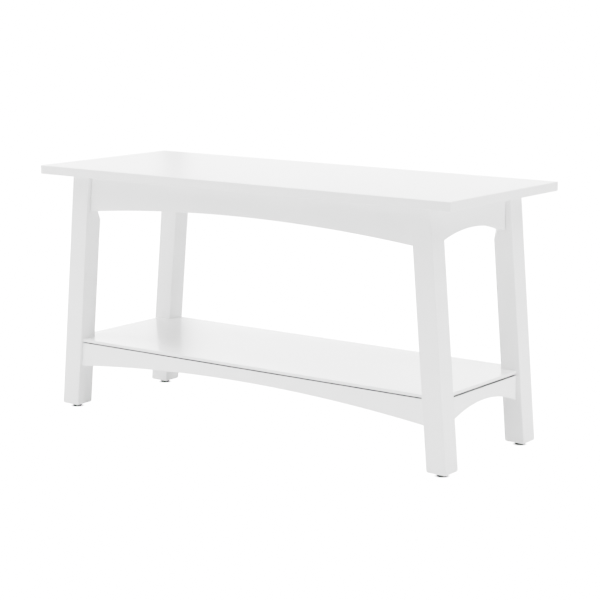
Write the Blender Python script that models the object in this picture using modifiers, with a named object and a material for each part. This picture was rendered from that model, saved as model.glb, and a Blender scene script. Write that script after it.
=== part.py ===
"""Console table with splayed square legs, arched aprons and rails, and a low shelf.

The frame is in metres with +Z up. The origin is on the floor under the middle of the
top, +X runs along the length and +Y points to the rear. The object is symmetric in X and
in Y, so most pieces are modelled once, in the quarter where X and Y are positive, and
mirrored to the other corners.
"""
import math

import bmesh
import bpy
from mathutils import Matrix, Vector

# ------------------------------------------------------------------ driving sizes, metres
TABLE_LENGTH = 1.200
TABLE_WIDTH = 0.472
TABLE_HEIGHT = 0.621
TOP_THICKNESS = 0.022
TOP_EDGE_RADIUS = 0.002
END_OVERHANG = 0.075
SIDE_OVERHANG = 0.038

LEG_SIZE = 0.052
LEG_SPLAY = math.radians(5.0)
LEG_EDGE_RADIUS = 0.002
LEG_FOOT_RADIUS = 0.005

APRON_HEIGHT = 0.090
APRON_THICKNESS = 0.020
APRON_SETBACK = 0.011
APRON_ARCH_RISE = 0.025
APRON_SHOULDER_GAP = 0.0013

RAIL_TOP = 0.172
RAIL_HEIGHT = 0.060
END_RAIL_DROP = 0.001
RAIL_THICKNESS = 0.020
LONG_RAIL_SETBACK = 0.007
END_RAIL_SETBACK = 0.010
RAIL_ARCH_RISE = 0.029
RAIL_SHOULDER_GAP = 0.0007
BOARD_EDGE_RADIUS = 0.0012

SHELF_THICKNESS = 0.016
SHELF_LIP = 0.007
SHELF_SHADOW_GAP = 0.003
SHELF_EDGE_RADIUS = 0.001
SHELF_LEG_CLEARANCE = 0.001
SHELF_TONGUE_CLEARANCE = 0.001
CLEAT_SIZE = 0.015
CLEAT_END_MARGIN = 0.050

TENON_THICKNESS = 0.010
TENON_LENGTH = 0.014
TENON_SHOULDER = 0.013
TENON_BOLT_WALL = 0.005

BLOCK_THICKNESS = 0.025
BLOCK_HEIGHT = 0.050
SEAT_RUNOUT = 0.026
BLOCK_BOLT_RADIUS = 0.004
BLOCK_BOLT_DEPTH = 0.035
BLOCK_NUT_ACROSS_FLATS = 0.013
BLOCK_NUT_HEIGHT = 0.0065
BLOCK_NUT_FLANGE_RADIUS = 0.009

RAIL_BOLT_RADIUS = 0.003
RAIL_BOLT_DEPTH = 0.027
RAIL_NUT_ACROSS_FLATS = 0.010
RAIL_NUT_HEIGHT = 0.005
RAIL_NUT_FLANGE_RADIUS = 0.0062
POCKET_RADIUS = 0.012
POCKET_DEPTH = 0.014
POCKET_DISTANCE = 0.030
BOLT_PROUD = 0.003
NUT_FLANGE_HEIGHT = 0.0015

SCREW_RADIUS = 0.002
SCREW_HEAD_RADIUS = 0.004
SCREW_HEAD_HEIGHT = 0.0025
SCREW_TIP_LENGTH = 0.005
TOP_SCREW_BITE = 0.014
TOP_SCREW_END_DISTANCE = 0.010
SHELF_SCREW_BITE = 0.010
SHELF_SCREW_SPACING = 0.600

FOOT_HEIGHT = 0.008
FOOT_PAD_RADIUS = 0.012
FOOT_PAD_THICKNESS = 0.005
FOOT_PAD_EDGE = 0.001
FOOT_NECK_RADIUS = 0.007
FOOT_SOCKET_FLOOR = 0.0025
STEM_RADIUS = 0.004
STEM_LENGTH = 0.036
STEM_CHAMFER = 0.0008
INSERT_RADIUS = 0.0065
INSERT_LENGTH = 0.020

# Joint clearance between touching pieces, and the extra depth of blind holes.
GAP = 0.0003
BLIND_DEPTH = 0.001
ROUND_SEGMENTS = 16
PAD_SEGMENTS = 24
ARCH_SEGMENTS = 24
BEVEL_SEGMENTS = 2
FOOT_BEVEL_SEGMENTS = 4
BEVEL_ANGLE = math.radians(30.0)
SMOOTH_ANGLE = math.radians(35.0)
WELD_DISTANCE = 1.0e-6
FLAT_ANGLE = math.radians(0.05)
CUT_MARGIN = 0.010

CORNERS = {
    "front_left": (-1, -1),
    "front_right": (1, -1),
    "rear_left": (-1, 1),
    "rear_right": (1, 1),
}

# ------------------------------------------------------------------ places worked out
SPLAY_SLOPE = math.tan(LEG_SPLAY)
TOP_UNDERSIDE = TABLE_HEIGHT - TOP_THICKNESS
LEG_TOP = TOP_UNDERSIDE - GAP
LEG_BOTTOM = FOOT_HEIGHT
LEG_OUTER_Y = TABLE_WIDTH / 2 - SIDE_OVERHANG
LEG_INNER_Y = LEG_OUTER_Y - LEG_SIZE
LEG_MIDDLE_Y = LEG_OUTER_Y - LEG_SIZE / 2

APRON_TOP = LEG_TOP
APRON_BOTTOM = APRON_TOP - APRON_HEIGHT
LONG_APRON_INNER_Y = LEG_OUTER_Y - APRON_SETBACK - APRON_THICKNESS
END_APRON_OUTER_X = TABLE_LENGTH / 2 - END_OVERHANG - APRON_SETBACK
END_APRON_INNER_X = END_APRON_OUTER_X - APRON_THICKNESS

RAIL_BOTTOM = RAIL_TOP - RAIL_HEIGHT
END_RAIL_TOP = RAIL_TOP - END_RAIL_DROP
LONG_RAIL_OUTER_Y = LEG_OUTER_Y - LONG_RAIL_SETBACK
LONG_RAIL_INNER_Y = LONG_RAIL_OUTER_Y - RAIL_THICKNESS

SHELF_TOP = RAIL_TOP + SHELF_SHADOW_GAP + SHELF_LIP
SHELF_TONGUE_BOTTOM = SHELF_TOP - SHELF_THICKNESS


def leg_outer_x(height):
    """X of the leg's outer end face at a height; the leg leans outwards going down."""
    return TABLE_LENGTH / 2 - END_OVERHANG + SPLAY_SLOPE * (TOP_UNDERSIDE - height)


def leg_inner_x(height):
    return leg_outer_x(height) - LEG_SIZE


END_RAIL_OUTER_X = leg_outer_x(RAIL_TOP) - END_RAIL_SETBACK
END_RAIL_INNER_X = END_RAIL_OUTER_X - RAIL_THICKNESS
FOOT_X = leg_outer_x(LEG_BOTTOM) - LEG_SIZE / 2
FOOT_Y = LEG_MIDDLE_Y

# The seat for the corner block is the vertical plane X + Y = SEAT_SUM. It lies half way
# between the leg's inner corner and the line where the aprons' inner faces would meet.
SEAT_SUM = (leg_inner_x(LEG_TOP) + LEG_INNER_Y + END_APRON_INNER_X + LONG_APRON_INNER_Y) / 2
BLOCK_TOP = APRON_TOP
BLOCK_BOTTOM = BLOCK_TOP - BLOCK_HEIGHT
BLOCK_BOLT_Z = (BLOCK_TOP + BLOCK_BOTTOM) / 2
SEAT_MIDDLE_X = (END_APRON_INNER_X + SEAT_SUM - LONG_APRON_INNER_Y) / 2
SEAT_MIDDLE_Y = SEAT_SUM - SEAT_MIDDLE_X
INWARD = Vector((-1.0, -1.0, 0.0)).normalized()
ALONG_SEAT = Vector((1.0, -1.0, 0.0)).normalized()

RAIL_BOLT_Z = (RAIL_TOP + RAIL_BOTTOM) / 2
RAIL_BOLT_Y = LONG_RAIL_INNER_Y + POCKET_DEPTH / 2
POCKET_X = leg_inner_x(RAIL_BOLT_Z) - POCKET_DISTANCE


# ------------------------------------------------------------------ scene and materials
def clear_scene():
    for old in list(bpy.data.objects):
        bpy.data.objects.remove(old, do_unlink=True)


def make_collection(name):
    collection = bpy.data.collections.new(name)
    bpy.context.scene.collection.children.link(collection)
    return collection


def make_material(name, colour, roughness, metallic):
    material = bpy.data.materials.new(name)
    material.use_nodes = True
    shader = material.node_tree.nodes["Principled BSDF"]
    shader.inputs["Base Color"].default_value = (*colour, 1.0)
    shader.inputs["Roughness"].default_value = roughness
    shader.inputs["Metallic"].default_value = metallic
    material.diffuse_color = (*colour, 1.0)
    return material


WHITE = (0.86, 0.86, 0.85)
SHELF_WHITE = (0.88, 0.88, 0.87)
BARE_WOOD = (0.66, 0.50, 0.33)
ZINC = (0.62, 0.62, 0.60)
BLACK = (0.020, 0.020, 0.022)


# ------------------------------------------------------------------ mesh tools
def mesh_from_bmesh(bm, name):
    mesh = bpy.data.meshes.new(name)
    bm.to_mesh(mesh)
    bm.free()
    return mesh


def evaluated_mesh(obj):
    """The object's mesh with its modifiers applied; the object itself is removed."""
    bpy.context.view_layer.update()
    graph = bpy.context.evaluated_depsgraph_get()
    mesh = bpy.data.meshes.new_from_object(obj.evaluated_get(graph))
    bpy.data.objects.remove(obj, do_unlink=True)
    return mesh


def work_object(mesh):
    """A helper object for a mesh that is still being shaped; never part of the table."""
    obj = bpy.data.objects.new("work", mesh)
    obj.hide_render = True
    obj.display_type = "WIRE"
    CUTTERS.objects.link(obj)
    return obj


def box(low, high):
    bm = bmesh.new()
    bmesh.ops.create_cube(bm, size=1.0)
    low = Vector(low)
    high = Vector(high)
    scale = Matrix.Diagonal((*(high - low), 1.0))
    bm.transform(Matrix.Translation((low + high) / 2) @ scale)
    return mesh_from_bmesh(bm, "box")


def cylinder(start, end, radius, segments=ROUND_SEGMENTS):
    start = Vector(start)
    end = Vector(end)
    bm = bmesh.new()
    bmesh.ops.create_cone(
        bm,
        cap_ends=True,
        segments=segments,
        radius1=radius,
        radius2=radius,
        depth=(end - start).length,
    )
    turn = (end - start).to_track_quat("Z", "Y").to_matrix().to_4x4()
    bm.transform(Matrix.Translation((start + end) / 2) @ turn)
    return mesh_from_bmesh(bm, "cylinder")


def flat_board(outline, thickness, axes):
    """A closed outline in the plane of axes[0] and axes[1], extruded evenly along axes[2]."""
    curve = bpy.data.curves.new("outline", "CURVE")
    curve.dimensions = "2D"
    curve.fill_mode = "BOTH"
    curve.extrude = thickness / 2
    spline = curve.splines.new("POLY")
    spline.points.add(len(outline) - 1)
    for point, (across, up) in zip(spline.points, outline):
        point.co = (across, up, 0.0, 1.0)
    spline.use_cyclic_u = True
    mesh = evaluated_mesh(work_object(curve))
    bm = bmesh.new()
    bm.from_mesh(mesh)
    bmesh.ops.remove_doubles(bm, verts=bm.verts, dist=WELD_DISTANCE)
    bmesh.ops.dissolve_limit(bm, angle_limit=FLAT_ANGLE, verts=bm.verts, edges=bm.edges)
    bm.transform(Matrix(axes).transposed().to_4x4())
    bmesh.ops.recalc_face_normals(bm, faces=bm.faces)
    return mesh_from_bmesh(bm, "board")


def turned(profile, segments):
    """A solid turned about Z from (radius, height) points that go down its outer side."""
    bm = bmesh.new()
    points = [bm.verts.new((radius, 0.0, height)) for radius, height in profile]
    for first, second in zip(points, points[1:]):
        bm.edges.new((first, second))
    obj = work_object(mesh_from_bmesh(bm, "profile"))
    screw = obj.modifiers.new("Turn", "SCREW")
    screw.steps = segments
    screw.render_steps = segments
    screw.use_merge_vertices = True
    screw.merge_threshold = WELD_DISTANCE
    return evaluated_mesh(obj)


def combined(mesh, others, operation):
    """A mesh with other meshes cut from it (DIFFERENCE) or joined to it (UNION)."""
    obj = work_object(mesh)
    partners = [work_object(other) for other in others]
    for partner in partners:
        step = obj.modifiers.new("Combine", "BOOLEAN")
        step.operation = operation
        step.solver = "EXACT"
        step.object = partner
    result = evaluated_mesh(obj)
    for partner in partners:
        bpy.data.objects.remove(partner, do_unlink=True)
    return result


def softened(mesh, radius, segments=BEVEL_SEGMENTS):
    """A mesh with its sharp edges eased to a small radius."""
    obj = work_object(mesh)
    ease = obj.modifiers.new("Ease", "BEVEL")
    ease.width = radius
    ease.segments = segments
    ease.limit_method = "ANGLE"
    ease.angle_limit = BEVEL_ANGLE
    return evaluated_mesh(obj)


def moved(mesh, matrix):
    bm = bmesh.new()
    bm.from_mesh(mesh)
    bm.transform(matrix)
    if matrix.determinant() < 0.0:
        bmesh.ops.reverse_faces(bm, faces=bm.faces)
    return mesh_from_bmesh(bm, mesh.name)


# ------------------------------------------------------------------ placing pieces
def place(name, mesh, material, origin, parent):
    """Make a mesh that is modelled in world coordinates an object with its own origin."""
    origin = Vector(origin)
    mesh = moved(mesh, Matrix.Translation(-origin))
    mesh.name = name
    mesh.materials.clear()
    mesh.materials.append(material)
    mesh.shade_smooth()
    mesh.set_sharp_from_angle(angle=SMOOTH_ANGLE)
    obj = bpy.data.objects.new(name, mesh)
    obj.location = origin
    obj.parent = parent
    TABLE.objects.link(obj)
    return obj


def place_at_corners(kind, mesh, material, origin, parents):
    """Mirror a piece of the rear right corner to all four corners."""
    for corner, (side_x, side_y) in CORNERS.items():
        mirror = Matrix.Diagonal((side_x, side_y, 1.0, 1.0))
        centre = mirror @ Vector(origin)
        place(f"{kind}_{corner}", moved(mesh, mirror), material, centre, parents[corner])


def place_front_and_rear(kind, mesh, material, origin, parent):
    for name, side in (("front", -1), ("rear", 1)):
        mirror = Matrix.Diagonal((1.0, side, 1.0, 1.0))
        centre = mirror @ Vector(origin)
        place(f"{name}_{kind}", moved(mesh, mirror), material, centre, parent)


def place_left_and_right(kind, mesh, material, origin, parent):
    for name, side in (("left", -1), ("right", 1)):
        mirror = Matrix.Diagonal((side, 1.0, 1.0, 1.0))
        centre = mirror @ Vector(origin)
        place(f"{name}_{kind}", moved(mesh, mirror), material, centre, parent)


def make_anchor(name, location, parent=None):
    anchor = bpy.data.objects.new(name, None)
    anchor.location = location
    anchor.parent = parent
    TABLE.objects.link(anchor)
    return anchor


# ------------------------------------------------------------------ top
def top_mesh():
    half_length = TABLE_LENGTH / 2
    half_width = TABLE_WIDTH / 2
    low = (-half_length, -half_width, TOP_UNDERSIDE)
    board = softened(box(low, (half_length, half_width, TABLE_HEIGHT)), TOP_EDGE_RADIUS)
    holes = []
    for side_x, side_y in CORNERS.values():
        centre = top_screw_centre()
        x = side_x * centre.x
        y = side_y * centre.y
        tip = TOP_UNDERSIDE + TOP_SCREW_BITE + BLIND_DEPTH
        holes.append(cylinder((x, y, TOP_UNDERSIDE - CUT_MARGIN), (x, y, tip), SCREW_RADIUS + GAP))
    return combined(board, holes, "DIFFERENCE")


# ------------------------------------------------------------------ legs
def splayed_box(grow, low_z, high_z):
    """The rear right leg's square section, grown on all sides, between two heights."""
    middle = (low_z + high_z) / 2
    outer = leg_outer_x(middle) + grow
    inner = leg_inner_x(middle) - grow
    low = (inner, LEG_INNER_Y - grow, low_z)
    mesh = box(low, (outer, LEG_OUTER_Y + grow, high_z))
    lean = Matrix.Identity(4)
    lean[0][2] = -SPLAY_SLOPE
    centre = Matrix.Translation((0.0, 0.0, middle))
    return moved(mesh, centre @ lean @ centre.inverted())


def seat_cutter():
    """Cuts the leg's inner corner to a 45 degree seat that runs out below the apron."""
    root_two = math.sqrt(2.0)
    seat = SEAT_SUM / root_two
    runout_z = APRON_BOTTOM - SEAT_RUNOUT
    corner = (leg_inner_x(runout_z) + LEG_INNER_Y) / root_two
    inside = (leg_inner_x(LEG_TOP) + LEG_INNER_Y) / root_two - CUT_MARGIN
    outline = [
        (inside, runout_z),
        (corner, runout_z),
        (seat, APRON_BOTTOM),
        (seat, LEG_TOP + CUT_MARGIN),
        (inside, LEG_TOP + CUT_MARGIN),
    ]
    axes = (-INWARD, Vector((0.0, 0.0, 1.0)), -ALONG_SEAT)
    cutter = flat_board(outline, 4 * LEG_SIZE, axes)
    across = (SEAT_MIDDLE_X - SEAT_MIDDLE_Y) / root_two
    return moved(cutter, Matrix.Translation(ALONG_SEAT * across))


def mortise(low, high):
    """A mortise for a tenon, with clearance all round and at its blind end."""
    low = Vector(low) - Vector((GAP, CUT_MARGIN, GAP))
    high = Vector(high) + Vector((GAP, BLIND_DEPTH, GAP))
    return box(low, high)


def with_rounded_foot(mesh):
    """A leg with the four edges round its bottom end rounded over."""
    bm = bmesh.new()
    bm.from_mesh(mesh)
    below = LEG_BOTTOM + LEG_FOOT_RADIUS
    edges = [e for e in bm.edges if all(v.co.z < below for v in e.verts)]
    bmesh.ops.bevel(
        bm,
        geom=edges,
        offset=LEG_FOOT_RADIUS,
        segments=FOOT_BEVEL_SEGMENTS,
        profile=0.5,
        affect="EDGES",
    )
    return mesh_from_bmesh(bm, "leg")


def leg_mesh():
    leg = with_rounded_foot(splayed_box(0.0, LEG_BOTTOM, LEG_TOP))
    leg = softened(leg, LEG_EDGE_RADIUS)
    seat_point = Vector((SEAT_MIDDLE_X, SEAT_MIDDLE_Y, BLOCK_BOLT_Z))
    bolt_end = seat_point - INWARD * (BLOCK_BOLT_DEPTH + BLIND_DEPTH)
    rail_bolt_end = leg_inner_x(RAIL_BOLT_Z) + RAIL_BOLT_DEPTH + BLIND_DEPTH
    foot_below = LEG_BOTTOM - CUT_MARGIN
    insert_top = LEG_BOTTOM + INSERT_LENGTH + 2 * GAP
    stem_top = FOOT_SOCKET_FLOOR + STEM_LENGTH + BLIND_DEPTH
    cutters = [
        seat_cutter(),
        mortise(*end_apron_tenon()),
        mortise(*end_rail_tenon()),
        cylinder(seat_point + INWARD * CUT_MARGIN, bolt_end, BLOCK_BOLT_RADIUS + GAP),
        cylinder(
            (leg_inner_x(RAIL_BOLT_Z) - CUT_MARGIN, RAIL_BOLT_Y, RAIL_BOLT_Z),
            (rail_bolt_end, RAIL_BOLT_Y, RAIL_BOLT_Z),
            RAIL_BOLT_RADIUS + GAP,
        ),
        cylinder((FOOT_X, FOOT_Y, foot_below), (FOOT_X, FOOT_Y, insert_top), INSERT_RADIUS + GAP),
        cylinder((FOOT_X, FOOT_Y, foot_below), (FOOT_X, FOOT_Y, stem_top), STEM_RADIUS + 2 * GAP),
    ]
    return combined(leg, cutters, "DIFFERENCE")


# ------------------------------------------------------------------ aprons and rails
def arched_outline(half_low, half_high, low_z, high_z, rise):
    """A board's outline: level top, ends that may lean, and a lower edge on one arc."""
    radius = (half_low * half_low + rise * rise) / (2 * rise)
    half_angle = math.asin(half_low / radius)
    centre_z = low_z + rise - radius
    outline = [(half_high, high_z), (-half_high, high_z)]
    for step in range(ARCH_SEGMENTS + 1):
        angle = half_angle * (2 * step / ARCH_SEGMENTS - 1)
        outline.append((radius * math.sin(angle), centre_z + radius * math.cos(angle)))
    return outline


def long_board(low_z, high_z, rise, inner_y, thickness, shoulder_gap):
    """A long apron or rail between the legs; its ends follow the legs' lean."""
    half_low = leg_inner_x(low_z) - shoulder_gap
    half_high = leg_inner_x(high_z) - shoulder_gap
    outline = arched_outline(half_low, half_high, low_z, high_z, rise)
    board = flat_board(outline, thickness, ((1, 0, 0), (0, 0, 1), (0, -1, 0)))
    board = moved(board, Matrix.Translation((0.0, inner_y + thickness / 2, 0.0)))
    return softened(board, BOARD_EDGE_RADIUS)


def end_board(low_z, high_z, rise, inner_x, thickness, shoulder_gap, tenon):
    """An end apron or rail between two legs, with a stub tenon at each end."""
    half = LEG_INNER_Y - shoulder_gap
    outline = arched_outline(half, half, low_z, high_z, rise)
    board = flat_board(outline, thickness, ((0, 1, 0), (0, 0, 1), (1, 0, 0)))
    board = moved(board, Matrix.Translation((inner_x + thickness / 2, 0.0, 0.0)))
    board = softened(board, BOARD_EDGE_RADIUS)
    low, high = tenon
    tenons = [
        box((low[0], half - CUT_MARGIN, low[2]), high),
        box((low[0], -high[1], low[2]), (high[0], CUT_MARGIN - half, high[2])),
    ]
    return combined(board, tenons, "UNION")


def tenon_box(inner_x, thickness, low_z, high_z):
    """The rear tenon of an end board, as its low and high corners outside the board."""
    middle = inner_x + thickness / 2
    low = (middle - TENON_THICKNESS / 2, LEG_INNER_Y, low_z)
    high = (middle + TENON_THICKNESS / 2, LEG_INNER_Y + TENON_LENGTH, high_z)
    return low, high


def end_apron_tenon():
    """It ends below the corner block's bolt, which crosses the leg above it."""
    high_z = BLOCK_BOLT_Z - BLOCK_BOLT_RADIUS - TENON_BOLT_WALL
    return tenon_box(END_APRON_INNER_X, APRON_THICKNESS, APRON_BOTTOM + TENON_SHOULDER, high_z)


def end_rail_tenon():
    low_z = RAIL_BOTTOM + TENON_SHOULDER
    return tenon_box(END_RAIL_INNER_X, RAIL_THICKNESS, low_z, END_RAIL_TOP - TENON_SHOULDER)


def long_apron_mesh():
    return long_board(
        APRON_BOTTOM,
        APRON_TOP,
        APRON_ARCH_RISE,
        LONG_APRON_INNER_Y,
        APRON_THICKNESS,
        APRON_SHOULDER_GAP,
    )


def end_apron_mesh():
    return end_board(
        APRON_BOTTOM,
        APRON_TOP,
        APRON_ARCH_RISE,
        END_APRON_INNER_X,
        APRON_THICKNESS,
        APRON_SHOULDER_GAP,
        end_apron_tenon(),
    )


def long_rail_mesh():
    """The long lower rail, with a pocket and a bolt hole near each end."""
    rail = long_board(
        RAIL_BOTTOM,
        RAIL_TOP,
        RAIL_ARCH_RISE,
        LONG_RAIL_INNER_Y,
        RAIL_THICKNESS,
        RAIL_SHOULDER_GAP,
    )
    end = leg_inner_x(RAIL_BOLT_Z) + CUT_MARGIN
    cutters = []
    for side in (-1, 1):
        pocket = (side * POCKET_X, LONG_RAIL_INNER_Y - CUT_MARGIN, RAIL_BOLT_Z)
        pocket_floor = (side * POCKET_X, LONG_RAIL_INNER_Y + POCKET_DEPTH, RAIL_BOLT_Z)
        cutters.append(cylinder(pocket, pocket_floor, POCKET_RADIUS, PAD_SEGMENTS))
        hole = (side * POCKET_X, RAIL_BOLT_Y, RAIL_BOLT_Z)
        cutters.append(
            cylinder(hole, (side * end, RAIL_BOLT_Y, RAIL_BOLT_Z), RAIL_BOLT_RADIUS + GAP)
        )
    return combined(rail, cutters, "DIFFERENCE")


def end_rail_mesh():
    return end_board(
        RAIL_BOTTOM,
        END_RAIL_TOP,
        RAIL_ARCH_RISE,
        END_RAIL_INNER_X,
        RAIL_THICKNESS,
        RAIL_SHOULDER_GAP,
        end_rail_tenon(),
    )


# ------------------------------------------------------------------ shelf and its cleats
def shelf_mesh():
    """A board with a thin lip over the rails and a tongue between them, notched for legs."""
    lip_low = (-END_RAIL_OUTER_X, -LONG_RAIL_OUTER_Y, SHELF_TOP - SHELF_LIP)
    lip = softened(box(lip_low, (END_RAIL_OUTER_X, LONG_RAIL_OUTER_Y, SHELF_TOP)), SHELF_EDGE_RADIUS)
    tongue_x = END_RAIL_INNER_X - SHELF_TONGUE_CLEARANCE
    tongue_y = LONG_RAIL_INNER_Y - SHELF_TONGUE_CLEARANCE
    tongue = box(
        (-tongue_x, -tongue_y, SHELF_TONGUE_BOTTOM),
        (tongue_x, tongue_y, SHELF_TOP - SHELF_LIP / 2),
    )
    shelf = combined(lip, [tongue], "UNION")
    low_z = SHELF_TONGUE_BOTTOM - CUT_MARGIN
    notch = splayed_box(SHELF_LEG_CLEARANCE, low_z, SHELF_TOP + CUT_MARGIN)
    cutters = []
    for side_x, side_y in CORNERS.values():
        cutters.append(moved(notch, Matrix.Diagonal((side_x, side_y, 1.0, 1.0))))
        x = side_x * SHELF_SCREW_SPACING / 2
        y = side_y * cleat_middle_y()
        tip = SHELF_TONGUE_BOTTOM + SHELF_SCREW_BITE + BLIND_DEPTH
        cutters.append(cylinder((x, y, low_z), (x, y, tip), SCREW_RADIUS + GAP))
    return combined(shelf, cutters, "DIFFERENCE")


def cleat_middle_y():
    return LONG_RAIL_INNER_Y - GAP - CLEAT_SIZE / 2


def cleat_mesh():
    """A batten on the inside of a long rail that carries the shelf and takes two screws."""
    half = POCKET_X - CLEAT_END_MARGIN
    high_z = SHELF_TONGUE_BOTTOM - GAP
    low = (-half, cleat_middle_y() - CLEAT_SIZE / 2, high_z - CLEAT_SIZE)
    cleat = softened(box(low, (half, LONG_RAIL_INNER_Y - GAP, high_z)), BOARD_EDGE_RADIUS)
    holes = []
    for side in (-1, 1):
        x = side * SHELF_SCREW_SPACING / 2
        start = (x, cleat_middle_y(), high_z - CLEAT_SIZE - CUT_MARGIN)
        end = (x, cleat_middle_y(), high_z + CUT_MARGIN)
        holes.append(cylinder(start, end, SCREW_RADIUS + GAP))
    return combined(cleat, holes, "DIFFERENCE")


# ------------------------------------------------------------------ corner blocks
def top_screw_centre():
    """Where the screw that holds the top goes up through a corner block, near one end."""
    middle = Vector((SEAT_MIDDLE_X, SEAT_MIDDLE_Y, 0.0)) + INWARD * (BLOCK_THICKNESS / 2 + GAP)
    block_end = (END_APRON_INNER_X + LONG_APRON_INNER_Y - middle.x - middle.y) / math.sqrt(2.0)
    return middle + ALONG_SEAT * (block_end - TOP_SCREW_END_DISTANCE)


def corner_block_mesh():
    """A trapezoid block across the corner, from one apron to the other, on the leg's seat."""
    outer = SEAT_SUM - GAP * math.sqrt(2.0)
    inner = outer - BLOCK_THICKNESS * math.sqrt(2.0)
    end_x = END_APRON_INNER_X - GAP
    side_y = LONG_APRON_INNER_Y - GAP
    outline = [
        (end_x, outer - end_x),
        (outer - side_y, side_y),
        (inner - side_y, side_y),
        (end_x, inner - end_x),
    ]
    block = flat_board(outline, BLOCK_HEIGHT, ((1, 0, 0), (0, 1, 0), (0, 0, 1)))
    block = moved(block, Matrix.Translation((0.0, 0.0, BLOCK_BOLT_Z)))
    block = softened(block, BOARD_EDGE_RADIUS, 1)
    seat_point = Vector((SEAT_MIDDLE_X, SEAT_MIDDLE_Y, BLOCK_BOLT_Z))
    inside = seat_point + INWARD * (BLOCK_THICKNESS + CUT_MARGIN)
    screw = top_screw_centre()
    holes = [
        cylinder(seat_point - INWARD * CUT_MARGIN, inside, BLOCK_BOLT_RADIUS + GAP),
        cylinder(
            (screw.x, screw.y, BLOCK_BOTTOM - CUT_MARGIN),
            (screw.x, screw.y, BLOCK_TOP + CUT_MARGIN),
            SCREW_RADIUS + GAP,
        ),
    ]
    return combined(block, holes, "DIFFERENCE")


# ------------------------------------------------------------------ bolts, nuts, screws
def rod_mesh(length, radius):
    """A plain rod along +Z from the origin, with chamfered ends."""
    profile = [
        (0.0, length),
        (radius - STEM_CHAMFER, length),
        (radius, length - STEM_CHAMFER),
        (radius, STEM_CHAMFER),
        (radius - STEM_CHAMFER, 0.0),
        (0.0, 0.0),
    ]
    return turned(profile, ROUND_SEGMENTS)


def nut_mesh(across_flats, height, flange_radius, bolt_radius):
    """A hexagon nut with a round flange at its foot, bored to clear the bolt, along +Z."""
    corner_radius = across_flats / math.sqrt(3.0)
    hexagon = cylinder((0, 0, NUT_FLANGE_HEIGHT / 2), (0, 0, height), corner_radius, 6)
    flange = cylinder((0, 0, 0), (0, 0, NUT_FLANGE_HEIGHT), flange_radius, PAD_SEGMENTS)
    bore = cylinder((0, 0, -CUT_MARGIN), (0, 0, height + CUT_MARGIN), bolt_radius + GAP)
    solid = combined(hexagon, [flange], "UNION")
    return combined(solid, [bore], "DIFFERENCE")


def screw_mesh(length):
    """A pan-head wood screw that points along +Z, its head below the origin."""
    profile = [
        (0.0, length),
        (SCREW_RADIUS, length - SCREW_TIP_LENGTH),
        (SCREW_RADIUS, 0.0),
        (SCREW_HEAD_RADIUS, 0.0),
        (SCREW_HEAD_RADIUS, -SCREW_HEAD_HEIGHT / 2),
        (SCREW_HEAD_RADIUS / 2, -SCREW_HEAD_HEIGHT),
        (0.0, -SCREW_HEAD_HEIGHT),
    ]
    return turned(profile, ROUND_SEGMENTS)


def along(start, direction):
    """The matrix that stands a piece modelled along +Z at a start point, along a direction."""
    turn = Vector(direction).to_track_quat("Z", "Y").to_matrix().to_4x4()
    return Matrix.Translation(Vector(start)) @ turn


def block_bolt_mesh():
    """The hanger bolt from inside the corner block into the leg's seat."""
    length = BLOCK_BOLT_DEPTH + BLOCK_THICKNESS + BLOCK_NUT_HEIGHT + BOLT_PROUD + 2 * GAP
    seat_point = Vector((SEAT_MIDDLE_X, SEAT_MIDDLE_Y, BLOCK_BOLT_Z))
    tip = seat_point - INWARD * BLOCK_BOLT_DEPTH
    return moved(rod_mesh(length, BLOCK_BOLT_RADIUS), along(tip, INWARD))


def block_nut_mesh():
    nut = nut_mesh(
        BLOCK_NUT_ACROSS_FLATS, BLOCK_NUT_HEIGHT, BLOCK_NUT_FLANGE_RADIUS, BLOCK_BOLT_RADIUS
    )
    seat_point = Vector((SEAT_MIDDLE_X, SEAT_MIDDLE_Y, BLOCK_BOLT_Z))
    return moved(nut, along(seat_point + INWARD * (BLOCK_THICKNESS + 2 * GAP), INWARD))


def rail_nut_face_x():
    """X where the nut's flange bears on the round wall of the pocket."""
    chord = math.sqrt(POCKET_RADIUS**2 - RAIL_NUT_FLANGE_RADIUS**2)
    return POCKET_X + chord - 2 * GAP


def rail_bolt_mesh():
    """The hanger bolt from the rail's pocket into the leg."""
    start = rail_nut_face_x() - RAIL_NUT_HEIGHT - BOLT_PROUD
    end = leg_inner_x(RAIL_BOLT_Z) + RAIL_BOLT_DEPTH
    rod = rod_mesh(end - start, RAIL_BOLT_RADIUS)
    return moved(rod, along((start, RAIL_BOLT_Y, RAIL_BOLT_Z), (1, 0, 0)))


def rail_nut_mesh():
    nut = nut_mesh(
        RAIL_NUT_ACROSS_FLATS, RAIL_NUT_HEIGHT, RAIL_NUT_FLANGE_RADIUS, RAIL_BOLT_RADIUS
    )
    return moved(nut, along((rail_nut_face_x(), RAIL_BOLT_Y, RAIL_BOLT_Z), (-1, 0, 0)))


def top_screw_mesh():
    """The screw that goes up through a corner block into the top."""
    centre = top_screw_centre()
    length = BLOCK_HEIGHT + 2 * GAP + TOP_SCREW_BITE
    start = (centre.x, centre.y, BLOCK_BOTTOM - GAP)
    return moved(screw_mesh(length), Matrix.Translation(start))


def shelf_screw_mesh():
    """The screw that goes up through a cleat into the shelf."""
    length = CLEAT_SIZE + 2 * GAP + SHELF_SCREW_BITE
    low_z = SHELF_TONGUE_BOTTOM - CLEAT_SIZE - 2 * GAP
    start = (SHELF_SCREW_SPACING / 2, cleat_middle_y(), low_z)
    return moved(screw_mesh(length), Matrix.Translation(start))


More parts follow.
